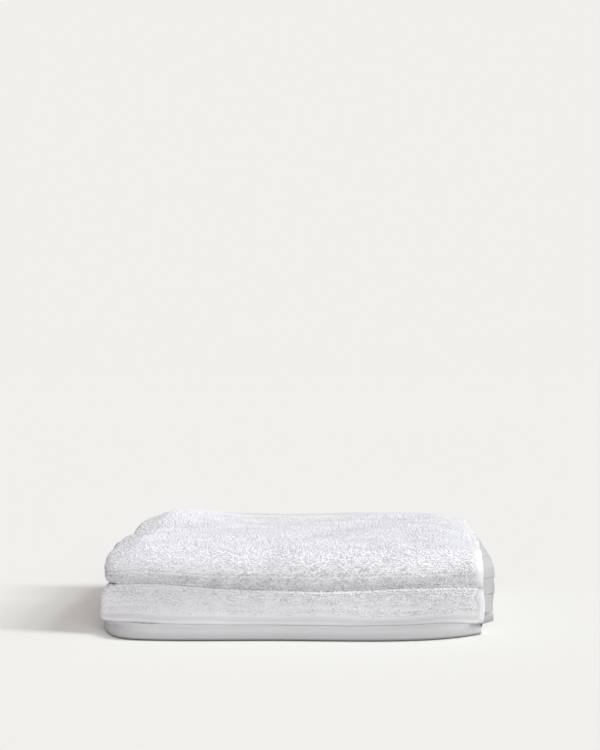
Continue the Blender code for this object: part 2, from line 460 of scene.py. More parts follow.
class FinishShop:
    """Makes the node groups once, and the materials that use them."""

    def __init__(self) -> None:
        """Builds the shared groups."""
        self.mottle = self.build_mottle()
        self.yarn_height = self.build_yarn_height()
        self.weave_height = self.build_weave_height()

    @staticmethod
    def new_group(
        name: str, inputs: dict[str, tuple[str, object]], outputs: dict[str, str]
    ) -> tuple[bpy.types.NodeTree, bpy.types.Node, bpy.types.Node]:
        """Starts a shader group.

        Args:
            name: The group's name.
            inputs: Socket type and starting value of each named input.
            outputs: Socket type of each named output.

        Returns:
            The group, its input node and its output node.
        """
        group = bpy.data.node_groups.new(name, "ShaderNodeTree")
        for label, (kind, value) in inputs.items():
            socket = group.interface.new_socket(name=label, in_out="INPUT", socket_type=kind)
            if value is not None:
                socket.default_value = value
        for label, kind in outputs.items():
            group.interface.new_socket(name=label, in_out="OUTPUT", socket_type=kind)
        return group, group.nodes.new("NodeGroupInput"), group.nodes.new("NodeGroupOutput")

    def build_mottle(self) -> bpy.types.NodeTree:
        """Cloudy change between two tones, with finer flecks in it."""
        group, given, result = self.new_group(
            "cotton_mottle",
            {
                "Vector": ("NodeSocketVector", None),
                "Hollow": ("NodeSocketColor", (0.6, 0.6, 0.62, 1.0)),
                "Crown": ("NodeSocketColor", (0.8, 0.8, 0.82, 1.0)),
                "Lift": ("NodeSocketFloat", 0.5),
                "Cloud Scale": ("NodeSocketFloat", 60.0),
                "Fleck Scale": ("NodeSocketFloat", 900.0),
            },
            {"Color": "NodeSocketColor"},
        )
        links = group.links
        cloud = group.nodes.new("ShaderNodeTexNoise")
        cloud.inputs["Detail"].default_value = 3.0
        fleck = group.nodes.new("ShaderNodeTexNoise")
        fleck.inputs["Detail"].default_value = 2.0
        links.new(given.outputs["Vector"], cloud.inputs["Vector"])
        links.new(given.outputs["Vector"], fleck.inputs["Vector"])
        links.new(given.outputs["Cloud Scale"], cloud.inputs["Scale"])
        links.new(given.outputs["Fleck Scale"], fleck.inputs["Scale"])
        both = group.nodes.new("ShaderNodeMath")
        both.operation = "MULTIPLY_ADD"
        both.inputs[1].default_value = 0.45
        links.new(fleck.outputs["Fac"], both.inputs[0])
        links.new(cloud.outputs["Fac"], both.inputs[2])
        lifted = group.nodes.new("ShaderNodeMath")
        lifted.operation = "ADD"
        links.new(both.outputs[0], lifted.inputs[0])
        links.new(given.outputs["Lift"], lifted.inputs[1])
        spread = group.nodes.new("ShaderNodeMapRange")
        spread.inputs["From Min"].default_value = 0.70
        spread.inputs["From Max"].default_value = 1.75
        links.new(lifted.outputs[0], spread.inputs["Value"])
        tone = group.nodes.new("ShaderNodeMix")
        tone.data_type = "RGBA"
        links.new(spread.outputs["Result"], tone.inputs["Factor"])
        tone_colors = [socket for socket in tone.inputs if socket.type == "RGBA"]
        links.new(given.outputs["Hollow"], tone_colors[0])
        links.new(given.outputs["Crown"], tone_colors[1])
        out = next(socket for socket in tone.outputs if socket.type == "RGBA")
        links.new(out, result.inputs["Color"])
        return group

    def build_yarn_height(self) -> bpy.types.NodeTree:
        """Fine fibres and the twist of a cotton yarn, as a height."""
        group, given, result = self.new_group(
            "yarn_fibres",
            {"Vector": ("NodeSocketVector", None), "Fibre Scale": ("NodeSocketFloat", 2600.0)},
            {"Height": "NodeSocketFloat"},
        )
        noise = group.nodes.new("ShaderNodeTexNoise")
        noise.inputs["Detail"].default_value = 3.0
        noise.inputs["Roughness"].default_value = 0.6
        group.links.new(given.outputs["Vector"], noise.inputs["Vector"])
        group.links.new(given.outputs["Fibre Scale"], noise.inputs["Scale"])
        group.links.new(noise.outputs["Fac"], result.inputs["Height"])
        return group

    def build_weave_height(self) -> bpy.types.NodeTree:
        """Threads that pass over and under each other, as a height."""
        group, given, result = self.new_group(
            "ground_weave",
            {"Vector": ("NodeSocketVector", None), "Threads": ("NodeSocketFloat", 1100.0)},
            {"Height": "NodeSocketFloat"},
        )
        links = group.links
        split = group.nodes.new("ShaderNodeSeparateXYZ")
        links.new(given.outputs["Vector"], split.inputs["Vector"])
        waves = []
        for axis in ("X", "Y"):
            turns = group.nodes.new("ShaderNodeMath")
            turns.operation = "MULTIPLY"
            links.new(split.outputs[axis], turns.inputs[0])
            links.new(given.outputs["Threads"], turns.inputs[1])
            angle = group.nodes.new("ShaderNodeMath")
            angle.operation = "MULTIPLY"
            angle.inputs[1].default_value = 2 * math.pi
            links.new(turns.outputs[0], angle.inputs[0])
            wave = group.nodes.new("ShaderNodeMath")
            wave.operation = "SINE"
            links.new(angle.outputs[0], wave.inputs[0])
            waves.append(wave)
        product = group.nodes.new("ShaderNodeMath")
        product.operation = "MULTIPLY"
        links.new(waves[0].outputs[0], product.inputs[0])
        links.new(waves[1].outputs[0], product.inputs[1])
        height = group.nodes.new("ShaderNodeMath")
        height.operation = "MULTIPLY_ADD"
        height.inputs[1].default_value = 0.5
        height.inputs[2].default_value = 0.5
        links.new(product.outputs[0], height.inputs[0])
        links.new(height.outputs[0], result.inputs["Height"])
        return group

    def start_material(self, name: str, gloss: CottonGloss) -> tuple[bpy.types.Material, bpy.types.Node]:
        """Starts a cotton material with its plain shader values.

        Args:
            name: The material's name.
            gloss: Its gloss.

        Returns:
            The material and its shader node.
        """
        material = bpy.data.materials.new(name)
        material.use_nodes = True
        shader = material.node_tree.nodes["Principled BSDF"]
        shader.inputs["Roughness"].default_value = gloss.roughness
        shader.inputs["Sheen Weight"].default_value = gloss.sheen
        shader.inputs["Sheen Roughness"].default_value = 0.6
        shader.inputs["Specular IOR Level"].default_value = 0.25
        return material, shader

    def add_group(self, material: bpy.types.Material, group: bpy.types.NodeTree) -> bpy.types.Node:
        """Places a shared group in a material."""
        node = material.node_tree.nodes.new("ShaderNodeGroup")
        node.node_tree = group
        return node

    def add_mottle(self, material: bpy.types.Material, tone: YarnTone) -> bpy.types.Node:
        """Places the cloudy change of tone in a material with one cotton's colours."""
        mottle = self.add_group(material, self.mottle)
        mottle.inputs["Hollow"].default_value = (*tone.hollow, 1.0)
        mottle.inputs["Crown"].default_value = (*tone.crown, 1.0)
        return mottle

    def loop_yarn(self, tone: YarnTone, gloss: CottonGloss) -> bpy.types.Material:
        """The yarn of the loops, each loop with its own tone, which also holds painted light and shade by
        its place in the stack.

        Args:
            tone: The yarn's colours.
            gloss: The yarn's gloss.

        Returns:
            The finished material.
        """
        material, shader = self.start_material("terry_yarn_white", gloss)
        nodes, links = material.node_tree.nodes, material.node_tree.links
        places = nodes.new("ShaderNodeTexCoord")
        # the tone attribute holds random tone and painted light and shade
        own = nodes.new("ShaderNodeAttribute")
        own.attribute_name = "tone"
        mottle = self.add_mottle(material, tone)
        links.new(places.outputs["Object"], mottle.inputs["Vector"])
        links.new(own.outputs["Fac"], mottle.inputs["Lift"])
        links.new(mottle.outputs["Color"], shader.inputs["Base Color"])
        fibres = self.add_group(material, self.yarn_height)
        links.new(places.outputs["Object"], fibres.inputs["Vector"])
        bump = nodes.new("ShaderNodeBump")
        bump.inputs["Strength"].default_value = 0.35
        bump.inputs["Distance"].default_value = 0.0002
        links.new(fibres.outputs["Height"], bump.inputs["Height"])
        links.new(bump.outputs["Normal"], shader.inputs["Normal"])
        return material

    def ground_cloth(self, tone: YarnTone, gloss: CottonGloss) -> bpy.types.Material:
        """The woven ground between the loops, in the hems and in the plain band.

        Args:
            tone: The cloth's colours.
            gloss: The cloth's gloss.

        Returns:
            The finished material.
        """
        material, shader = self.start_material("terry_ground_white", gloss)
        nodes, links = material.node_tree.nodes, material.node_tree.links
        flat = nodes.new("ShaderNodeUVMap")
        flat.uv_map = "flat_cloth"
        # this attribute holds the ground's own grey together with its painted light and shade
        white = nodes.new("ShaderNodeAttribute")
        white.attribute_name = "whiteness_and_painted_light"
        mottle = self.add_mottle(material, tone)
        mottle.inputs["Lift"].default_value = 0.6
        links.new(flat.outputs["UV"], mottle.inputs["Vector"])
        toned = nodes.new("ShaderNodeVectorMath")
        toned.operation = "SCALE"
        links.new(mottle.outputs["Color"], toned.inputs[0])
        links.new(white.outputs["Fac"], toned.inputs["Scale"])
        links.new(toned.outputs["Vector"], shader.inputs["Base Color"])
        weave = self.add_group(material, self.weave_height)
        links.new(flat.outputs["UV"], weave.inputs["Vector"])
        fibres = self.add_group(material, self.yarn_height)
        links.new(flat.outputs["UV"], fibres.inputs["Vector"])
        rough = nodes.new("ShaderNodeMath")
        rough.operation = "MULTIPLY_ADD"
        rough.inputs[1].default_value = 0.6
        links.new(fibres.outputs["Height"], rough.inputs[0])
        links.new(weave.outputs["Height"], rough.inputs[2])
        bump = nodes.new("ShaderNodeBump")
        bump.inputs["Strength"].default_value = 0.5
        bump.inputs["Distance"].default_value = 0.0003
        links.new(rough.outputs[0], bump.inputs["Height"])
        links.new(bump.outputs["Normal"], shader.inputs["Normal"])
        return material


@dataclass
class GroundCloth:
    """The woven ground of the towel, one sheet with hems at its ends and selvedges.

    Its inner faces, which meet inside the doubled strip, are pressed together. Its outer faces
    are lower under the loops than in the hems and in the plain woven band.
    """

    plan: FoldPlan
    inner_off: float = 0.00284
    pressed_off: float = 0.00288
    terry_off: float = 0.0016
    hem_off: float = 0.0026
    side_off: float = 0.0021
    groove_off: float = 0.0016
    groove: float = 0.0012
    end_hem: float = 0.014
    side_hem: float = 0.0045
    open_round: float = 0.0028
    tucked_round: float = 0.0012
    side_round: float = 0.0006
    hem_bulge: float = 0.0010
    bulge_run: float = 0.006
    crease_fill: float = 0.0008
    thinnest: float = 0.0004
    field_white: float = 0.96
    # painted light: the ground is painted lighter in creases and where the cloth turns out of sight, to
    # lift the shade there
    crease_painted_light: float = 1.06
    # painted shade: the selvedges tucked between the passes are darker, as the shade on the strip of layer
    # edges
    tucked_painted_shade: float = 0.51
    side_white: float = 0.92
    # the plain band is greyer, partly its own grey and partly painted shade on its down-facing bulge
    band_grey_and_painted_shade: float = 0.76
    # painted light: a lighter rim at the lower end of the band, to lift the shade of the crevice under it
    rim_painted_light: float = 1.06
    rim_depth: float = 0.0062
    # the end hems are greyer, partly their own grey and partly painted shade on the bottom layer tucked
    # under the noses
    hem_grey_and_painted_shade: float = 0.80
    # painted shade: the cut ends of the hems are darker, as the shade on the bottom layer's front
    cut_painted_shade: float = 0.64
    cut_depth: float = 0.0014
    # painted light and shade by height: the cotton is painted whiter high up and greyer low down
    high_painted_light: float = 1.12
    low_painted_shade: float = 0.98
    white_from: float = 0.029
    white_run: float = 0.010
    white_fade: float = 0.001
    # painted shade: the cotton is painted darker in the lowest few millimetres, as the contact shadow at
    # the floor
    foot_painted_shade: float = 0.38
    foot_height: float = 0.0030
    # painted light and shade across the stack: whiter or greyer shares at the places of shift_x, low and
    # high, greyer low on the right where the key light falls
    shift_x: tuple[float, ...] = (-0.122, -0.100, -0.030, 0.035, 0.075, 0.105, 0.116)
    high_painted_shift: tuple[float, ...] = (-0.12, 0.065, 0.0, 0.0, -0.01, -0.02, 0.0)
    low_painted_shift: tuple[float, ...] = (-0.01, 0.0, -0.01, -0.01, -0.12, -0.12, 0.02)
    band_nose: int = 2
    band_turn: tuple[float, float] = (0.58, 1.0)
    pile_least: float = 0.48
    pile_run: float = 0.004
    step_across: float = 0.0055
    step_along: float = 0.0060
    fold_steps: int = 12
    nose_steps: int = 20

    def band(self) -> tuple[float, float]:
        """Where the plain woven band begins and ends along the flat length."""
        nose = self.plan.starts[self.band_nose + 1] - self.plan.nose_arc
        low, high = self.band_turn
        return nose + low * self.plan.nose_arc, nose + high * self.plan.nose_arc

    def hem_depths(self, across: np.ndarray, along: np.ndarray) -> tuple[np.ndarray, ...]:
        """How far places lie inside the end hems, the side hems and the plain band."""
        low, high = self.band()
        in_ends = self.end_hem - np.minimum(along, self.plan.length - along)
        in_sides = self.side_hem - np.minimum(across, self.plan.width - across)
        in_band = np.minimum(along - low, high - along)
        return in_ends, in_sides, in_band

    def rounding(self, reach: np.ndarray, turn: np.ndarray) -> np.ndarray:
        """How much the outer face falls this far from a cut edge that is rounded over a turn."""
        inside = np.clip(reach, 0.0, turn)
        return turn - np.sqrt(turn * turn - (turn - inside) ** 2)

    def outer_off(self, across: np.ndarray, along: np.ndarray) -> np.ndarray:
        """How far the outer face stands off the middle of the cloth at these places."""
        plan = self.plan
        stops = (-self.groove, 0.0, self.groove / 2)
        in_ends, in_sides, in_band = self.hem_depths(across, along)
        end_levels = (self.terry_off, self.groove_off, self.hem_off)
        side_levels = (self.terry_off, self.side_off, self.side_off)
        off = np.maximum(np.interp(in_ends, stops, end_levels), np.interp(in_sides, stops, side_levels))
        band_levels = (self.terry_off, self.terry_off, self.pressed_off)
        off = np.maximum(off, np.interp(in_band, stops, band_levels))
        open_share = plan.exposure(across, along)
        off = self.pressed_off + (off - self.pressed_off) * open_share
        off = off + self.crease_fill * 4 * open_share * (1.0 - open_share)
        upper = across < plan.face_half + plan.side_arc / 2
        bulge = self.hem_bulge * eased(1.0 - (plan.length - along) / self.bulge_run)
        off = off + np.where(upper, bulge, 0.0)
        back_turn = np.where(upper, self.open_round, self.tucked_round)
        front_turn = np.where(upper, self.tucked_round, self.open_round)
        off = off - self.rounding(along, back_turn) - self.rounding(plan.length - along, front_turn)
        sides = np.minimum(across, plan.width - across)
        off = off - self.rounding(sides, np.full(len(sides), self.side_round))
        return np.maximum(off, self.thinnest - self.inner_off)

    def whiteness_and_painted_light(self, across: np.ndarray, along: np.ndarray) -> np.ndarray:
        """How white the flat ground is: greyer in the hems and the plain band, partly their own grey and
        partly painted shade; painted shade on the cut ends and the tucked selvedges; painted light in the
        creases and on the band's lower rim.
        """
        in_ends, in_sides, in_band = self.hem_depths(across, along)
        open_share = self.plan.exposure(across, along)
        # painted light: lighter towards the creases, less so where the cloth lies open
        white = self.crease_painted_light + (self.field_white - self.crease_painted_light) * open_share
        # painted shade on the tucked selvedges; the open ones on the noses keep side_white
        sides = self.tucked_painted_shade + (self.side_white - self.tucked_painted_shade) * open_share
        # painted shade on the cut ends
        at_cut = in_ends - self.end_hem + self.cut_depth
        band_end = self.band()[1]
        # painted light along the band's lower rim
        at_rim = np.minimum(along - band_end + self.rim_depth, band_end - along)
        depths = (in_band, at_rim, in_sides, in_ends, at_cut)
        levels = (self.band_grey_and_painted_shade, self.rim_painted_light, sides, self.hem_grey_and_painted_shade, self.cut_painted_shade)
        for depth, level in zip(depths, levels):
            white += (level - white) * eased(depth / self.white_fade + 0.5)
        return white

    def painted_light_shift(self, points: np.ndarray) -> np.ndarray:
        """How much whiter or greyer the cotton is painted at these places of the stack, as painted light
        and shade.
        """
        low = np.interp(points[:, 0], self.shift_x, self.low_painted_shift)
        high = np.interp(points[:, 0], self.shift_x, self.high_painted_shift)
        return low + (high - low) * eased((points[:, 2] - self.white_from) / self.white_run)

    def painted_light_by_height(self, points: np.ndarray) -> np.ndarray:
        """How white the ground is painted by its place in the stack: painted light high up, painted shade
        low down and a painted contact shade at the floor.

        Args:
            points: Places in the stack.

        Returns:
            One factor for each place.
        """
        rise = eased((points[:, 2] - self.white_from) / self.white_run)
        # painted light high up, painted shade low down
        height_light = self.low_painted_shade + (self.high_painted_light - self.low_painted_shade) * rise
        # painted contact shade at the floor
        foot = 1.0 - eased(points[:, 2] / self.foot_height)
        return (height_light + self.painted_light_shift(points)) * (1.0 - self.foot_painted_shade * foot)

    def in_hem(self, across: np.ndarray, along: np.ndarray, margin: float = 0.0005) -> np.ndarray:
        """1 where a place is in a hem or in the plain band, 0 in the terry field."""
        in_ends, in_sides, in_band = self.hem_depths(across, along)
        return (np.maximum(np.maximum(in_ends, in_sides), in_band) > -margin).astype(float)

    def pile_share(self, across: np.ndarray, along: np.ndarray) -> np.ndarray:
        """How tall the loops are in the terry field: shorter beside the hems and the plain band."""
        nearest = -np.max(self.hem_depths(across, along), axis=0)
        return self.pile_least + (1.0 - self.pile_least) * eased(nearest / self.pile_run)

    def hem_rows(self, size: float, hem: float, turn: float) -> list[float]:
        """Rows of points that round both cut edges and mark the grooves beside their hems."""
        near = [turn * share for share in (0.0, 0.04, 0.16, 0.36, 0.64, 1.0)]
        near += [(turn + hem) / 2, hem - self.groove / 2, hem, hem + self.groove]
        return near + [size - place for place in near]

    def rows_across(self) -> np.ndarray:
        """Places of the rows of points along the flat width."""
        plan = self.plan
        fold = np.linspace(plan.face_half, plan.face_half + plan.side_arc, self.fold_steps + 1)
        inset = self.side_hem + self.groove + self.step_across / 2
        before = np.arange(inset, plan.face_half - self.step_across / 3, self.step_across)
        after = plan.width - np.arange(inset, plan.width - fold[-1] - 0.002, self.step_across)
        hems = self.hem_rows(plan.width, self.side_hem, self.side_round)
        return np.sort(np.concatenate([hems, before, fold, after]))

    def rows_along(self) -> np.ndarray:
        """Places of the rows of points along the flat length."""
        plan = self.plan
        rows = self.hem_rows(plan.length, self.end_hem, self.open_round)
        inset = self.end_hem + self.groove + self.step_along / 2
        for index, start in enumerate(plan.starts):
            is_last = index == len(plan.starts) - 1
            first = inset if index == 0 else start + self.step_along
            end = plan.length - inset if is_last else plan.starts[index + 1] - plan.nose_arc
            rows += list(np.arange(first, end - self.step_along / 3, self.step_along))
            if not is_last:
                rows += list(end + np.linspace(0.0, plan.nose_arc, self.nose_steps + 1))
        return np.sort(np.array(rows))

    def build(self, finish: bpy.types.Material) -> bpy.types.Object:
        """Lays the ground cloth in its folds.

        Args:
            finish: The material of the cloth.

        Returns:
            The cloth, closed and facing outwards.
        """
        across, along = self.rows_across(), self.rows_along()
        bpy.ops.object.select_all(action="DESELECT")
        bpy.ops.mesh.primitive_grid_add(
            x_subdivisions=len(across) - 1, y_subdivisions=len(along) - 1, size=1.0
        )
        cloth = bpy.context.active_object
        cloth.name = "terry_cloth"
        bpy.ops.object.mode_set(mode="EDIT")
        bpy.ops.mesh.select_all(action="SELECT")
        bpy.ops.mesh.extrude_region_move(TRANSFORM_OT_translate={"value": (0.0, 0.0, 1.0)})
        bpy.ops.object.mode_set(mode="OBJECT")
        mesh = cloth.data
        flat = np.zeros(len(mesh.vertices) * 3)
        mesh.vertices.foreach_get("co", flat)
        flat = flat.reshape(-1, 3)
        u = across[np.rint((flat[:, 0] + 0.5) * (len(across) - 1)).astype(int)]
        v = along[np.rint((flat[:, 1] + 0.5) * (len(along) - 1)).astype(int)]
        off = np.where(flat[:, 2] > 0.5, self.outer_off(u, v), -self.inner_off)
        folded = self.plan.place(u, v, off)
        mesh.vertices.foreach_set("co", folded.ravel())
        self.write_flat_map(mesh, u, v, folded)
        self.sharpen_cuts(mesh, u, v, flat[:, 2] > 0.5)
        select_only(cloth)
        bpy.ops.object.mode_set(mode="EDIT")
        bpy.ops.mesh.select_all(action="SELECT")
        bpy.ops.mesh.normals_make_consistent(inside=False)
        bpy.ops.object.mode_set(mode="OBJECT")
        bpy.ops.object.shade_smooth()
        mesh.materials.append(finish)
        mesh.update()
        return cloth

    def sharpen_cuts(
        self, mesh: bpy.types.Mesh, across: np.ndarray, along: np.ndarray, outer: np.ndarray
    ) -> None:
        """Keeps the shading sharp where the cut edges meet, on the inner face of the cloth.

        Args:
            mesh: The mesh of the cloth.
            across: Place of each point along the flat width.
            along: Place of each point along the flat length.
            outer: True for each point of the outer face.
        """
        sides = np.minimum(across, self.plan.width - across) < 1e-9
        ends = np.minimum(along, self.plan.length - along) < 1e-9
        pairs = np.zeros(len(mesh.edges) * 2, dtype=np.int32)
        mesh.edges.foreach_get("vertices", pairs)
        pairs = pairs.reshape(-1, 2)
        on_cut = sides[pairs].all(axis=1) | (ends[pairs].all(axis=1) & ~outer[pairs].any(axis=1))
        sharp = on_cut & (outer[pairs[:, 0]] == outer[pairs[:, 1]])
        mesh.attributes.new("sharp_edge", "BOOLEAN", "EDGE").data.foreach_set("value", sharp)

    def write_flat_map(
        self, mesh: bpy.types.Mesh, across: np.ndarray, along: np.ndarray, folded: np.ndarray
    ) -> None:
        """Stores where each point lies in the flat cloth, and how white it is there with its painted light
        and shade.

        Args:
            mesh: The mesh of the cloth.
            across: Place of each point along the flat width.
            along: Place of each point along the flat length.
            folded: Where each point lies in the stack.
        """
        while mesh.uv_layers:
            mesh.uv_layers.remove(mesh.uv_layers[0])
        layer = mesh.uv_layers.new(name="flat_cloth")
        corners = np.zeros(len(mesh.loops), dtype=np.int32)
        mesh.loops.foreach_get("vertex_index", corners)
        layer.uv.foreach_set("vector", np.column_stack([across[corners], along[corners]]).ravel())
        # the ground's own grey times the painted light and shade by place in the stack
        white = mesh.attributes.new("whiteness_and_painted_light", "FLOAT", "POINT")
        white.data.foreach_set("value", self.whiteness_and_painted_light(across, along) * self.painted_light_by_height(folded))


@dataclass
class Seats:
    """Where small copies stand: a place, two directions, a size and a tone for each."""

    here: np.ndarray
    up: np.ndarray
    aside: np.ndarray
    size: np.ndarray
    tone: np.ndarray

    def only(self, chosen: np.ndarray) -> Seats:
        """The seats that are chosen."""
        rows = (self.here, self.up, self.aside, self.size, self.tone)
        return Seats(*(row[chosen] for row in rows))


class OpenPlaces:
    """Tells which places on the cloth lie open to the outside."""

    def __init__(self, cloth: bpy.types.Object, clear_way: float, lowest: float) -> None:
        """Keeps the cloth's faces ready for looking along lines.

        Args:
            cloth: The folded ground cloth.
            clear_way: How far a line straight out must run free.
            lowest: How high above the floor a place must lie.
        """
        corners = [vert.co for vert in cloth.data.vertices]
        self.tree = BVHTree.FromPolygons(corners, [face.vertices for face in cloth.data.polygons])
        self.clear_way = clear_way
        self.lowest = lowest
        self.nearness = 0.0006

    def land(self, here: Vector, out: Vector) -> Vector | None:
        """Comes straight down on a place from outside.

        Args:
            here: The place, as the fold plan has it.
            out: The outward direction there.

        Returns:
            The spot that is met on the cloth, or None where other cloth or the floor is in the way.
        """
        if here.z < self.lowest or here.z + out.z * self.clear_way < 0.0:
            return None
        start = here + out * self.clear_way
        spot, normal, _, _ = self.tree.ray_cast(start, -out, self.clear_way + self.nearness)
        if spot is None or normal.dot(out) < 0.0 or (spot - here).length > self.nearness:
            return None
        return spot

    def among(self, here: np.ndarray, out: np.ndarray) -> tuple[np.ndarray, np.ndarray]:
        """Looks at many places.

        Args:
            here: The places.
            out: Outward directions there.

        Returns:
            True for each place that is open, and the spots on the cloth of the open ones.
        """
        spots = [self.land(Vector(a), Vector(b)) for a, b in zip(here, out)]
        keep = np.array([spot is not None for spot in spots])
        return keep, np.array([tuple(spot) for spot in spots if spot is not None])


@dataclass
class YarnPlanter:
    """Stands copies of one small model on places of the cloth, joined in one mesh."""

    def __post_init__(self) -> None:
        """Builds the geometry nodes that every planting uses."""
        self.tree = bpy.data.node_groups.new("stand_copies", "GeometryNodeTree")
        self.model = self.fill_tree(self.tree)

    @staticmethod
    def fill_tree(tree: bpy.types.NodeTree) -> bpy.types.Node:
        """Fills the tree, which stands a turned and sized copy on each point of a mesh.

        Args:
            tree: The empty tree.

        Returns:
            The node that names the model.
        """
        tree.interface.new_socket(name="Geometry", in_out="INPUT", socket_type="NodeSocketGeometry")
        tree.interface.new_socket(name="Geometry", in_out="OUTPUT", socket_type="NodeSocketGeometry")
        nodes, links = tree.nodes, tree.links
        given, result = nodes.new("NodeGroupInput"), nodes.new("NodeGroupOutput")
        model = nodes.new("GeometryNodeObjectInfo")
        stand = nodes.new("GeometryNodeInstanceOnPoints")
        turned = nodes.new("FunctionNodeAxesToRotation")
        turned.primary_axis = "Z"
        turned.secondary_axis = "X"
        wanted = (("up", turned.inputs[0]), ("aside", turned.inputs[1]), ("size", stand.inputs["Scale"]))
        for name, socket in wanted:
            named = nodes.new("GeometryNodeInputNamedAttribute")
            named.data_type = "FLOAT_VECTOR"
            named.inputs["Name"].default_value = name
            links.new(next(s for s in named.outputs if s.name == "Attribute" and s.enabled), socket)
        links.new(given.outputs["Geometry"], stand.inputs["Points"])
        links.new(model.outputs["Geometry"], stand.inputs["Instance"])
        links.new(turned.outputs["Rotation"], stand.inputs["Rotation"])
        real = nodes.new("GeometryNodeRealizeInstances")
        links.new(stand.outputs["Instances"], real.inputs["Geometry"])
        links.new(real.outputs["Geometry"], result.inputs["Geometry"])
        return model

    def plant(
        self, name: str, model: bpy.types.Object, seats: Seats, finish: bpy.types.Material
    ) -> bpy.types.Object:
        """Stands a copy of the model on every seat.

        Args:
            name: The name of the new piece.
            model: What is copied.
            seats: Where and how the copies stand.
            finish: The material of the piece.

        Returns:
            The new piece.
        """
        mesh = bpy.data.meshes.new(name)
        mesh.vertices.add(len(seats.here))
        mesh.vertices.foreach_set("co", seats.here.ravel())
        for label, values in (("up", seats.up), ("aside", seats.aside), ("size", seats.size)):
            attribute = mesh.attributes.new(label, "FLOAT_VECTOR", "POINT")
            attribute.data.foreach_set("vector", values.ravel())
        mesh.attributes.new("tone", "FLOAT", "POINT").data.foreach_set("value", seats.tone)
        piece = bpy.data.objects.new(name, mesh)
        bpy.context.scene.collection.objects.link(piece)
        select_only(piece)
        self.model.inputs["Object"].default_value = model
        stand = piece.modifiers.new("stand_copies", "NODES")
        stand.node_group = self.tree
        bpy.ops.object.modifier_apply(modifier=stand.name)
        mesh = piece.data
        for label in ("up", "aside", "size"):
            if label in mesh.attributes:
                mesh.attributes.remove(mesh.attributes[label])
        mesh.materials.clear()
        mesh.materials.append(finish)
        LOG.info("%s: %d copies, %d faces", name, len(seats.here), len(mesh.polygons))
        return piece


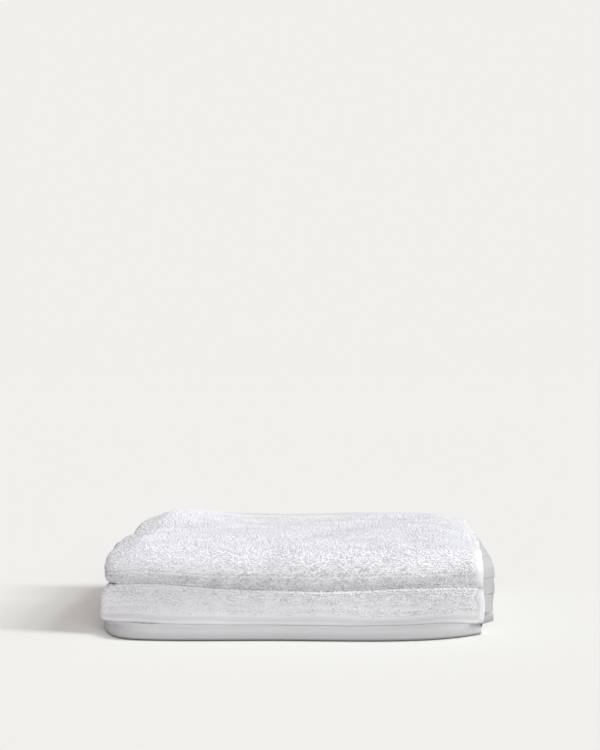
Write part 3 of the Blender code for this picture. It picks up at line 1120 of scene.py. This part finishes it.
@dataclass
class TerryPile:
    """Loops of yarn on every stretch of the cloth that can be seen."""

    plan: FoldPlan
    ground: GroundCloth
    planter: YarnPlanter
    pitch: float = 0.00131
    jitter: float = 0.32
    loop_radius: float = 0.00050
    yarn_radius: float = 0.00041
    loop_rise: float = 1.15
    sunk: float = 0.0001
    top_sunk: float = 0.0002
    top_breadth: float = 0.20
    lean: float = 0.26
    clump_lean: float = 0.30
    clump_waves: int = 14
    clump_lengths: tuple[float, float] = (0.004, 0.013)
    turn: float = 0.6
    # how strongly the painted light and shade of the stack goes into each loop's tone
    painted_light_tone: float = 3.5
    clear_way: float = 0.0005
    lowest: float = 0.0016
    least_exposure: float = 0.03
    side_reach: float = 0.060
    top_from: float = 0.040
    top_parts: tuple[float, ...] = (-1.0, -0.062, 0.0, 0.058)
    tone_middle: float = 0.5
    tone_range: tuple[float, float] = (-0.22, 1.20)
    clump_tone: float = 0.34
    top_calm: float = 0.85
    seed: int = 5

    def make_loop(self) -> bpy.types.Object:
        """Models one loop: the upper half of a ring of yarn, drawn out upwards."""
        bpy.ops.object.select_all(action="DESELECT")
        bpy.ops.mesh.primitive_torus_add(
            major_segments=6,
            minor_segments=3,
            major_radius=self.loop_radius,
            minor_radius=self.yarn_radius,
            rotation=(math.pi / 2, 0.0, 0.0),
        )
        loop = bpy.context.active_object
        loop.name = "one_loop"
        bpy.ops.object.transform_apply(location=True, rotation=True, scale=True)
        bpy.ops.object.mode_set(mode="EDIT")
        bpy.ops.mesh.select_all(action="SELECT")
        bpy.ops.mesh.bisect(
            plane_co=(0.0, 0.0, self.loop_radius * 0.02),
            plane_no=(0.0, 0.0, 1.0),
            use_fill=True,
            clear_inner=True,
        )
        bpy.ops.mesh.select_all(action="SELECT")
        bpy.ops.transform.resize(value=(1.0, 1.0, self.loop_rise), center_override=(0.0, 0.0, 0.0))
        bpy.ops.mesh.normals_make_consistent(inside=False)
        bpy.ops.object.mode_set(mode="OBJECT")
        bpy.ops.object.shade_smooth()
        return loop

    def candidates(self) -> tuple[np.ndarray, np.ndarray]:
        """Even, slightly scattered places for loops on the outer face of the cloth.

        Returns:
            Places along the flat width and along the flat length.
        """
        plan, off = self.plan, self.ground.terry_off
        middle = plan.face_half + plan.side_arc / 2
        rng = np.random.default_rng(self.seed)
        across_all, along_all = [], []
        for low, high in ((0.0, middle), (middle, plan.width)):
            fine_u = np.linspace(low, high, 1500)
            fine_v = np.linspace(0.0, plan.length, 6000)
            look_u = np.full(len(fine_v), (low + high) / 2)
            look_v = np.full(len(fine_u), plan.top_pass * 0.5)
            line_u = plan.place(fine_u, look_v, np.full(len(fine_u), off))
            line_v = plan.place(look_u, fine_v, np.full(len(fine_v), off))
            rows_u = plan.even_places(fine_u, line_u, self.pitch)
            rows_v = plan.even_places(fine_v, line_v, self.pitch)
            step_u = np.gradient(rows_u)
            step_v = np.gradient(rows_v)
            grid_u, grid_v = np.meshgrid(rows_u, rows_v, indexing="ij")
            shake = rng.uniform(-self.jitter, self.jitter, size=(2, *grid_u.shape))
            stagger = (np.arange(len(rows_v)) % 2) * 0.5
            grid_u = grid_u + (stagger[None, :] + shake[0]) * step_u[:, None]
            grid_v = grid_v + shake[1] * step_v[None, :]
            across_all.append(grid_u.ravel())
            along_all.append(grid_v.ravel())
        across, along = np.concatenate(across_all), np.concatenate(along_all)
        kept = self.ground.in_hem(across, along) < 0.5
        kept &= plan.exposure(across, along) > self.least_exposure
        return across[kept], along[kept]

    def sizes(self, share: np.ndarray, rng: np.random.Generator) -> np.ndarray:
        """Sizes of the loops along width, yarn and height: unequal everywhere."""
        tall = share * rng.uniform(0.80, 1.20, size=len(share))
        wide = (0.4 + 0.6 * tall) * rng.uniform(0.85, 1.2, size=len(share))
        return np.column_stack([wide, wide, tall])

    def clumps(self, here: np.ndarray, rng: np.random.Generator) -> np.ndarray:
        """Three slowly changing values at each place, which make neighbouring loops alike."""
        values = np.zeros((len(here), 3))
        for _ in range(self.clump_waves):
            toward = rng.normal(size=3)
            toward *= 2 * math.pi / rng.uniform(*self.clump_lengths) / np.linalg.norm(toward)
            values += np.sin(here @ toward + rng.uniform(0.0, 2 * math.pi))[:, None] * rng.normal(size=3)
        return values / math.sqrt(self.clump_waves / 2)

    def zone_of(self, here: np.ndarray, out: np.ndarray) -> np.ndarray:
        """Sorts places into the stretches of the outside that they belong to."""
        names = np.full(len(here), Zone.FRONT.value, dtype="<U16")
        names[here[:, 1] > 0.0] = Zone.BACK.value
        along_side = (np.abs(here[:, 1]) < self.side_reach) & (out[:, 2] < 0.6)
        aside = (np.abs(out[:, 0]) > 0.5) | along_side
        names[aside & (here[:, 0] < 0)] = Zone.LEFT.value
        on_top = (out[:, 2] > 0.6) & (here[:, 2] > self.top_from)
        tops = (Zone.TOP_FAR_LEFT, Zone.TOP_LEFT, Zone.TOP_RIGHT, Zone.TOP_FAR_RIGHT)
        for zone, start in zip(tops, self.top_parts):
            names[on_top & (here[:, 0] > start)] = zone.value
        return names

    def build(self, cloth: bpy.types.Object, finish: bpy.types.Material) -> list[bpy.types.Object]:
        """Stands the loops on the cloth, one mesh for each zone.

        Args:
            cloth: The folded ground cloth.
            finish: The material of the yarn.

        Returns:
            The meshes of loops.
        """
        loop = self.make_loop()
        across, along = self.candidates()
        off = self.ground.outer_off(across, along)
        here, out, side = self.plan.frames(across, along, off)
        share = self.ground.pile_share(across, along)
        keep, here = OpenPlaces(cloth, self.clear_way, self.lowest).among(here, out)
        LOG.info("loops: %d of %d places are open", keep.sum(), len(keep))
        out, side, share = out[keep], side[keep], share[keep]
        rng = np.random.default_rng(self.seed)
        clumps = self.clumps(here, rng)
        upturned = eased((out[:, 2] - 0.1) / 0.6)
        calm = 1.0 - self.top_calm * upturned
        lean = rng.normal(scale=self.lean, size=(len(here), 3)) + clumps * self.clump_lean
        lean *= calm[:, None]
        up = out + lean - np.sum(lean * out, axis=1)[:, None] * out
        up /= np.linalg.norm(up, axis=1)[:, None]
        turn = rng.normal(scale=self.turn, size=len(here))[:, None]
        aside = side * np.cos(turn) + np.cross(out, side) * np.sin(turn)
        size = self.sizes(share + 0.08 * clumps[:, 2] * calm, rng)
        size[:, :2] *= 1.0 + self.top_breadth * upturned[:, None]
        own_tone = rng.uniform(*self.tone_range, size=len(here)) + self.clump_tone * clumps[:, 0]
        # each loop's tone is random, plus the painted light and shade of its place in the stack
        tone = self.tone_middle + calm * own_tone + self.painted_light_tone * self.ground.painted_light_shift(here)
        here = here - out * (self.sunk + self.top_sunk * upturned)[:, None]
        seats = Seats(here, up, aside, size, tone)
        names = self.zone_of(here, out)
        pieces = []
        for zone in Zone:
            chosen = names == zone.value
            if chosen.any():
                name = f"terry_loops_{zone.value}"
                pieces.append(self.planter.plant(name, loop, seats.only(chosen), finish))
        bpy.data.objects.remove(loop)
        return pieces


@dataclass
class HemStitching:
    """Rows of small stitches that hold the folded end hems down."""

    plan: FoldPlan
    ground: GroundCloth
    planter: YarnPlanter
    step: float = 0.0030
    length: float = 0.0021
    thread: float = 0.00027
    from_end: float = 0.0118
    from_side: float = 0.0047
    clear_way: float = 0.004
    seed: int = 8

    def make_stitch(self) -> bpy.types.Object:
        """Models one stitch: a short thread whose ends dive into the cloth."""
        bpy.ops.object.select_all(action="DESELECT")
        bpy.ops.mesh.primitive_cylinder_add(
            vertices=6,
            radius=self.thread,
            depth=self.length,
            end_fill_type="NGON",
            rotation=(0.0, math.pi / 2, 0.0),
        )
        stitch = bpy.context.active_object
        stitch.name = "one_stitch"
        bpy.ops.object.transform_apply(location=True, rotation=True, scale=True)
        for place in (-0.3, 0.3):
            bpy.ops.object.mode_set(mode="EDIT")
            bpy.ops.mesh.select_all(action="SELECT")
            bpy.ops.mesh.bisect(plane_co=(self.length * place, 0.0, 0.0), plane_no=(1.0, 0.0, 0.0))
            bpy.ops.object.mode_set(mode="OBJECT")
        for vert in stitch.data.vertices:
            vert.select = abs(vert.co.x) > self.length * 0.45
        for part in (*stitch.data.edges, *stitch.data.polygons):
            part.select = all(stitch.data.vertices[i].select for i in part.vertices)
        bpy.ops.object.mode_set(mode="EDIT")
        bpy.ops.transform.translate(value=(0.0, 0.0, -2.4 * self.thread))
        bpy.ops.object.mode_set(mode="OBJECT")
        bpy.ops.object.shade_smooth()
        return stitch

    def line(self, across: np.ndarray, along: np.ndarray) -> tuple[np.ndarray, np.ndarray]:
        """Evenly spaced places on a seam line.

        Args:
            across: Closely spaced places along the flat width.
            along: Closely spaced places along the flat length.

        Returns:
            The places for stitches.
        """
        points = self.plan.place(across, along, self.ground.outer_off(across, along))
        picked_u = self.plan.even_places(across, points, self.step)
        picked_v = self.plan.even_places(along, points, self.step)
        return picked_u, picked_v

    def build(self, cloth: bpy.types.Object, finish: bpy.types.Material) -> bpy.types.Object:
        """Sews the stitches of both end hems, where they can be seen.

        Args:
            cloth: The folded ground cloth.
            finish: The material of the thread.

        Returns:
            The mesh of stitches.
        """
        plan = self.plan
        rows = []
        for along in (self.from_end, plan.length - self.from_end):
            fine = np.linspace(self.from_side, plan.width - self.from_side, 4000)
            rows.append(self.line(fine, np.full(len(fine), along)))
        across, along = (np.concatenate([row[i] for row in rows]) for i in range(2))
        off = self.ground.outer_off(across, along)
        here, out, way = plan.frames(across, along, off)
        keep, here = OpenPlaces(cloth, self.clear_way, 0.0).among(here, out)
        out, way = out[keep], way[keep]
        rng = np.random.default_rng(self.seed)
        size = rng.uniform(0.92, 1.08, size=len(here))[:, None] * np.ones((1, 3))
        seats = Seats(here, out, way, size, rng.uniform(0.6, 1.0, size=len(here)))
        stitch = self.make_stitch()
        piece = self.planter.plant("hem_stitches", stitch, seats, finish)
        bpy.data.objects.remove(stitch)
        return piece


@dataclass
class Studio:
    """Pale floor, soft light from the right and the camera of the photograph."""

    camera_place: tuple[float, float, float] = (0.0424, -0.8405, 0.1596)
    camera_turn: float = 3.0
    lens: float = 60.0
    backdrop: tuple[float, float, float] = (0.879, 0.871, 0.839)
    ambient: float = 0.400
    ambient_tone: tuple[float, float, float] = (1.05, 0.965, 0.985)
    lamp_tone: tuple[float, float, float] = (0.970, 1.021, 1.009)
    key_rises: tuple[tuple[float, float], ...] = ((27.0, 1.01), (37.0, 0.762), (49.0, 0.608))
    floor_tone: tuple[float, float, float] = (0.826, 0.818, 0.788)

    def add_floor(self) -> bpy.types.Object:
        """The pale floor."""
        bpy.ops.object.select_all(action="DESELECT")
        bpy.ops.mesh.primitive_plane_add(size=60.0, location=(0.0, 0.0, 0.0))
        floor = bpy.context.active_object
        floor.name = "floor"
        material = bpy.data.materials.new("pale_floor")
        material.use_nodes = True
        shader = material.node_tree.nodes["Principled BSDF"]
        shader.inputs["Base Color"].default_value = (*self.floor_tone, 1.0)
        shader.inputs["Roughness"].default_value = 1.0
        shader.inputs["Specular IOR Level"].default_value = 0.0
        floor.data.materials.append(material)
        return floor

    def add_world(self) -> None:
        """Even light all round, and the pale backdrop that the camera sees."""
        world = bpy.data.worlds.new("studio")
        world.use_nodes = True
        nodes, links = world.node_tree.nodes, world.node_tree.links
        light = nodes["Background"]
        light.inputs["Color"].default_value = (*self.ambient_tone, 1.0)
        light.inputs["Strength"].default_value = self.ambient
        shown = nodes.new("ShaderNodeBackground")
        shown.inputs["Color"].default_value = (*self.backdrop, 1.0)
        rays = nodes.new("ShaderNodeLightPath")
        mix = nodes.new("ShaderNodeMixShader")
        links.new(rays.outputs["Is Camera Ray"], mix.inputs[0])
        links.new(light.outputs[0], mix.inputs[1])
        links.new(shown.outputs[0], mix.inputs[2])
        links.new(mix.outputs[0], nodes["World Output"].inputs["Surface"])
        bpy.context.scene.world = world

    def add_lamp(self, name: str, azimuth: float, elevation: float, power: float, spread: float) -> None:
        """Adds a broad far lamp.

        Args:
            name: The lamp's name.
            azimuth: Where it stands, in degrees: 0 is in front, 90 to the right.
            elevation: Its height above the horizon, in degrees.
            power: Its strength.
            spread: Its apparent size, in degrees.
        """
        data = bpy.data.lights.new(name, "SUN")
        data.energy = power
        data.angle = math.radians(spread)
        data.color = self.lamp_tone
        lamp = bpy.data.objects.new(name, data)
        turn, rise = math.radians(azimuth), math.radians(elevation)
        toward = Vector(
            (math.sin(turn) * math.cos(rise), -math.cos(turn) * math.cos(rise), math.sin(rise))
        )
        lamp.rotation_euler = toward.to_track_quat("Z", "Y").to_euler()
        lamp.location = toward * 2.0
        bpy.context.scene.collection.objects.link(lamp)

    def add_camera(self) -> None:
        """The camera, level and a little to the right of the towel's middle."""
        data = bpy.data.cameras.new("photo_camera")
        data.lens = self.lens
        data.sensor_width = 36.0
        camera = bpy.data.objects.new("photo_camera", data)
        camera.location = self.camera_place
        camera.rotation_euler = (math.pi / 2, 0.0, math.radians(self.camera_turn))
        bpy.context.scene.collection.objects.link(camera)
        bpy.context.scene.camera = camera

    def build(self) -> None:
        """Builds the whole studio."""
        self.add_floor()
        self.add_world()
        for index, (elevation, power) in enumerate(self.key_rises):
            self.add_lamp(f"key_right_{index}", 85.0, elevation, power, 11.0)
        self.add_lamp("fill_front", 15.0, 32.0, 1.352, 50.0)
        self.add_camera()
        bpy.context.scene.view_settings.view_transform = "Standard"


class HandTowel:
    """The whole towel: its ground cloth and its pile."""

    def __init__(self) -> None:
        """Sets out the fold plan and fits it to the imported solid."""
        self.plan = FoldPlan()
        self.shop = FinishShop()
        self.ground = GroundCloth(self.plan)
        self.fit_to_solid()

    def fit_to_solid(self) -> None:
        """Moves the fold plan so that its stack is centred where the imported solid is."""
        across, along = self.ground.rows_across(), self.ground.rows_along()
        grid_u, grid_v = (grid.ravel() for grid in np.meshgrid(across, along))
        half = np.full(len(grid_u), self.plan.cloth / 2)
        points = np.vstack([self.plan.place(grid_u, grid_v, half), self.plan.place(grid_u, grid_v, -half)])
        low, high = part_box("towel")
        middle = (points.min(axis=0) + points.max(axis=0)) / 2
        self.plan.shift = np.array(
            [(low[0] + high[0]) / 2 - middle[0], (low[1] + high[1]) / 2 - middle[1], 0.0]
        )

    def build(self) -> None:
        """Builds every piece and attaches each one to the root body."""
        ground = YarnTone((0.755, 0.742, 0.766), (0.825, 0.812, 0.838))
        yarn = YarnTone((0.632, 0.626, 0.660), (0.828, 0.822, 0.862))
        gloss = CottonGloss(roughness=0.9, sheen=0.06)
        cloth = self.ground.build(self.shop.ground_cloth(ground, gloss))
        LOG.info("%s: %d faces", cloth.name, len(cloth.data.polygons))
        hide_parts("towel")
        planter = YarnPlanter()
        thread = self.shop.loop_yarn(yarn, gloss)
        extras = TerryPile(self.plan, self.ground, planter).build(cloth, thread)
        extras.append(HemStitching(self.plan, self.ground, planter).build(cloth, thread))
        for piece in (cloth, *extras):
            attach(piece, "root")


def main() -> None:
    """Loads the frame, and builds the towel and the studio."""
    logging.basicConfig(level=logging.INFO, format="%(name)s: %(message)s")
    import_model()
    HandTowel().build()
    Studio().build()


if __name__ == "__main__":
    main()
